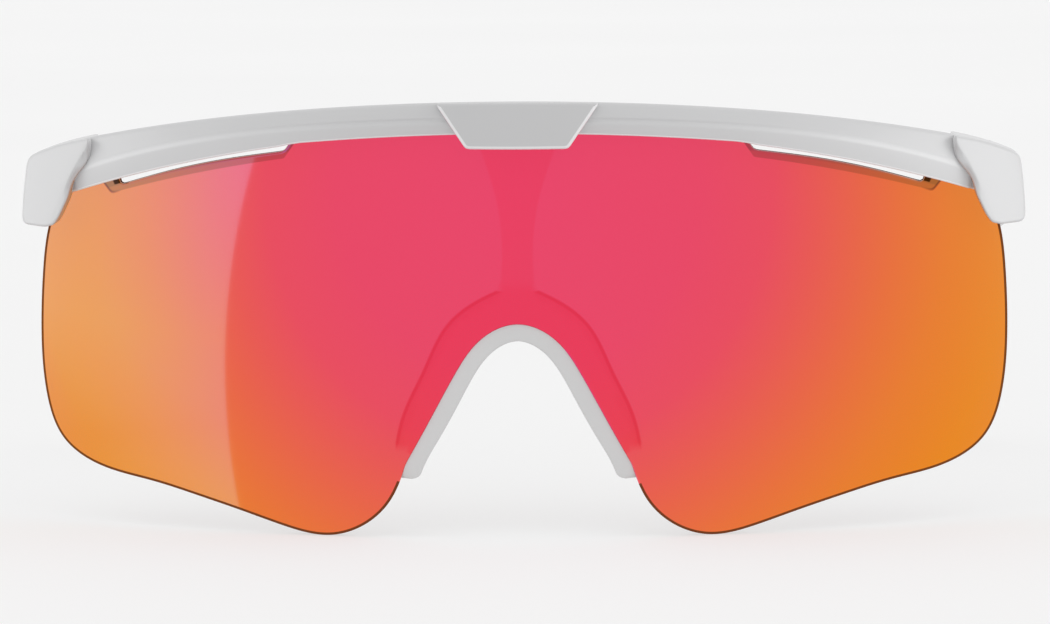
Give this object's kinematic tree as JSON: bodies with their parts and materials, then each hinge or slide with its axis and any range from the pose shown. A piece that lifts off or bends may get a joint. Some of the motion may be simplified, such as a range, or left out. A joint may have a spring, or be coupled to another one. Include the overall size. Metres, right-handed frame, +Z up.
{
  "type": "wraparound sport sunglasses",
  "caption": "Half-rim shield sunglasses: one curved mirrored lens under a moulded brow, soft nose pad, corner blocks and folding temples with soft ear tips.",
  "frame": {"origin": "on the table, under the middle of the box around the opened glasses standing on lens and ear tips", "axes": "+Z up, the lens faces -Y, the temples run towards +Y, the wearer's left is +X"},
  "size_m": [0.1414, 0.154, 0.0596],
  "materials": {
    "lens_mirror": "mirror-coated polycarbonate, pink at the top centre turning orange at the sides",
    "frame_white": "white nylon moulding, satin",
    "cover_white": "white nylon moulding, satin",
    "arm_white": "white nylon moulding, satin",
    "carrier_smoke": "dark translucent nylon",
    "pad_silicone": "soft white silicone, matte",
    "sock_rubber": "soft pale grey rubber, matte",
    "screw_steel": "turned stainless steel",
    "hinge_steel": "stamped stainless steel, satin",
    "wire_steel": "drawn wire",
    "washer_nylon": "natural nylon"
  },
  "bodies": {
    "front": {"shield_lens": "lens_mirror", "brow_frame": "frame_white", "bridge_cover": "cover_white", "nose_carrier": "carrier_smoke", "nose_pad": "pad_silicone", "bridge_screw": "screw_steel", "left_endpiece": "frame_white", "left_corner_screw": "screw_steel", "left_hinge_leaf": "hinge_steel", "left_leaf_screws": "screw_steel", "left_hinge_pin": "screw_steel", "left_hinge_washers": "washer_nylon", "right_endpiece": "frame_white", "right_corner_screw": "screw_steel", "right_hinge_leaf": "hinge_steel", "right_leaf_screws": "screw_steel", "right_hinge_pin": "screw_steel", "right_hinge_washers": "washer_nylon"},
    "left_temple": {"left_temple_arm": "arm_white", "left_temple_leaf": "hinge_steel", "left_temple_rivets": "screw_steel", "left_core_wire": "wire_steel", "left_ear_sock": "sock_rubber"},
    "right_temple": {"right_temple_arm": "arm_white", "right_temple_leaf": "hinge_steel", "right_temple_rivets": "screw_steel", "right_core_wire": "wire_steel", "right_ear_sock": "sock_rubber"}
  },
  "joints": [
    {"name": "left_hinge", "type": "hinge", "parent": "front", "child": "left_temple", "pos_m": [0.0634, -0.0344, 0.04644], "axis": [0, 0.1392, 0.9903], "range_deg": [0, 93]},
    {"name": "right_hinge", "type": "hinge", "parent": "front", "child": "right_temple", "pos_m": [-0.0634, -0.0344, 0.04644], "axis": [0, -0.1392, -0.9903], "range_deg": [0, 83]}
  ]
}
